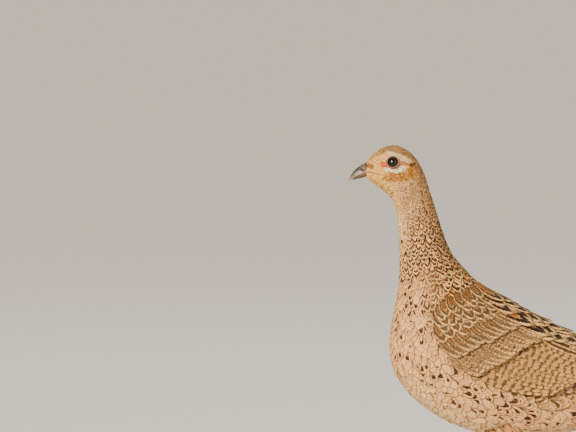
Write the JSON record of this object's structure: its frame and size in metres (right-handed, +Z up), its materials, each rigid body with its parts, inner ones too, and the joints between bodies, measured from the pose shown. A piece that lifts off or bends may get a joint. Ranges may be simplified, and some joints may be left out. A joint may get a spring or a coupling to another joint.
{
  "type": "common pheasant",
  "caption": "Life-size hen pheasant standing alert on both feet, with a long pointed tail, folded wings, a drawn-up neck and a short hooked bill.",
  "frame": {"origin": "on the floor, midway between the tip of the bill and the tip of the tail", "axes": "+Z up, the bird faces -X, and its left side is towards -Y"},
  "size_m": [0.5012, 0.1044, 0.395],
  "materials": {
    "body_feathers": "soft matte feathers",
    "wing_feathers": "soft matte feathers",
    "tail_feathers": "soft matte feathers",
    "horn": "worn horn",
    "eye": "wet and glossy",
    "leg_skin": "dry scaly skin",
    "claw": "worn horn"
  },
  "bodies": {
    "root": {"head": "body_feathers", "neck": "body_feathers", "torso": "body_feathers", "tail": "tail_feathers", "bill_upper": "horn", "bill_lower": "horn", "eye_left": "eye", "eye_right": "eye", "wing_left": "wing_feathers", "wing_right": "wing_feathers", "thigh_left": "body_feathers", "thigh_right": "body_feathers", "shank_left": "leg_skin", "shank_right": "leg_skin", "foot_left": "leg_skin", "foot_right": "leg_skin", "claw_left_inner": "claw", "claw_right_inner": "claw", "claw_left_middle": "claw", "claw_right_middle": "claw", "claw_left_outer": "claw", "claw_right_outer": "claw", "claw_left_hind": "claw", "claw_right_hind": "claw"}
  },
  "joints": []
}
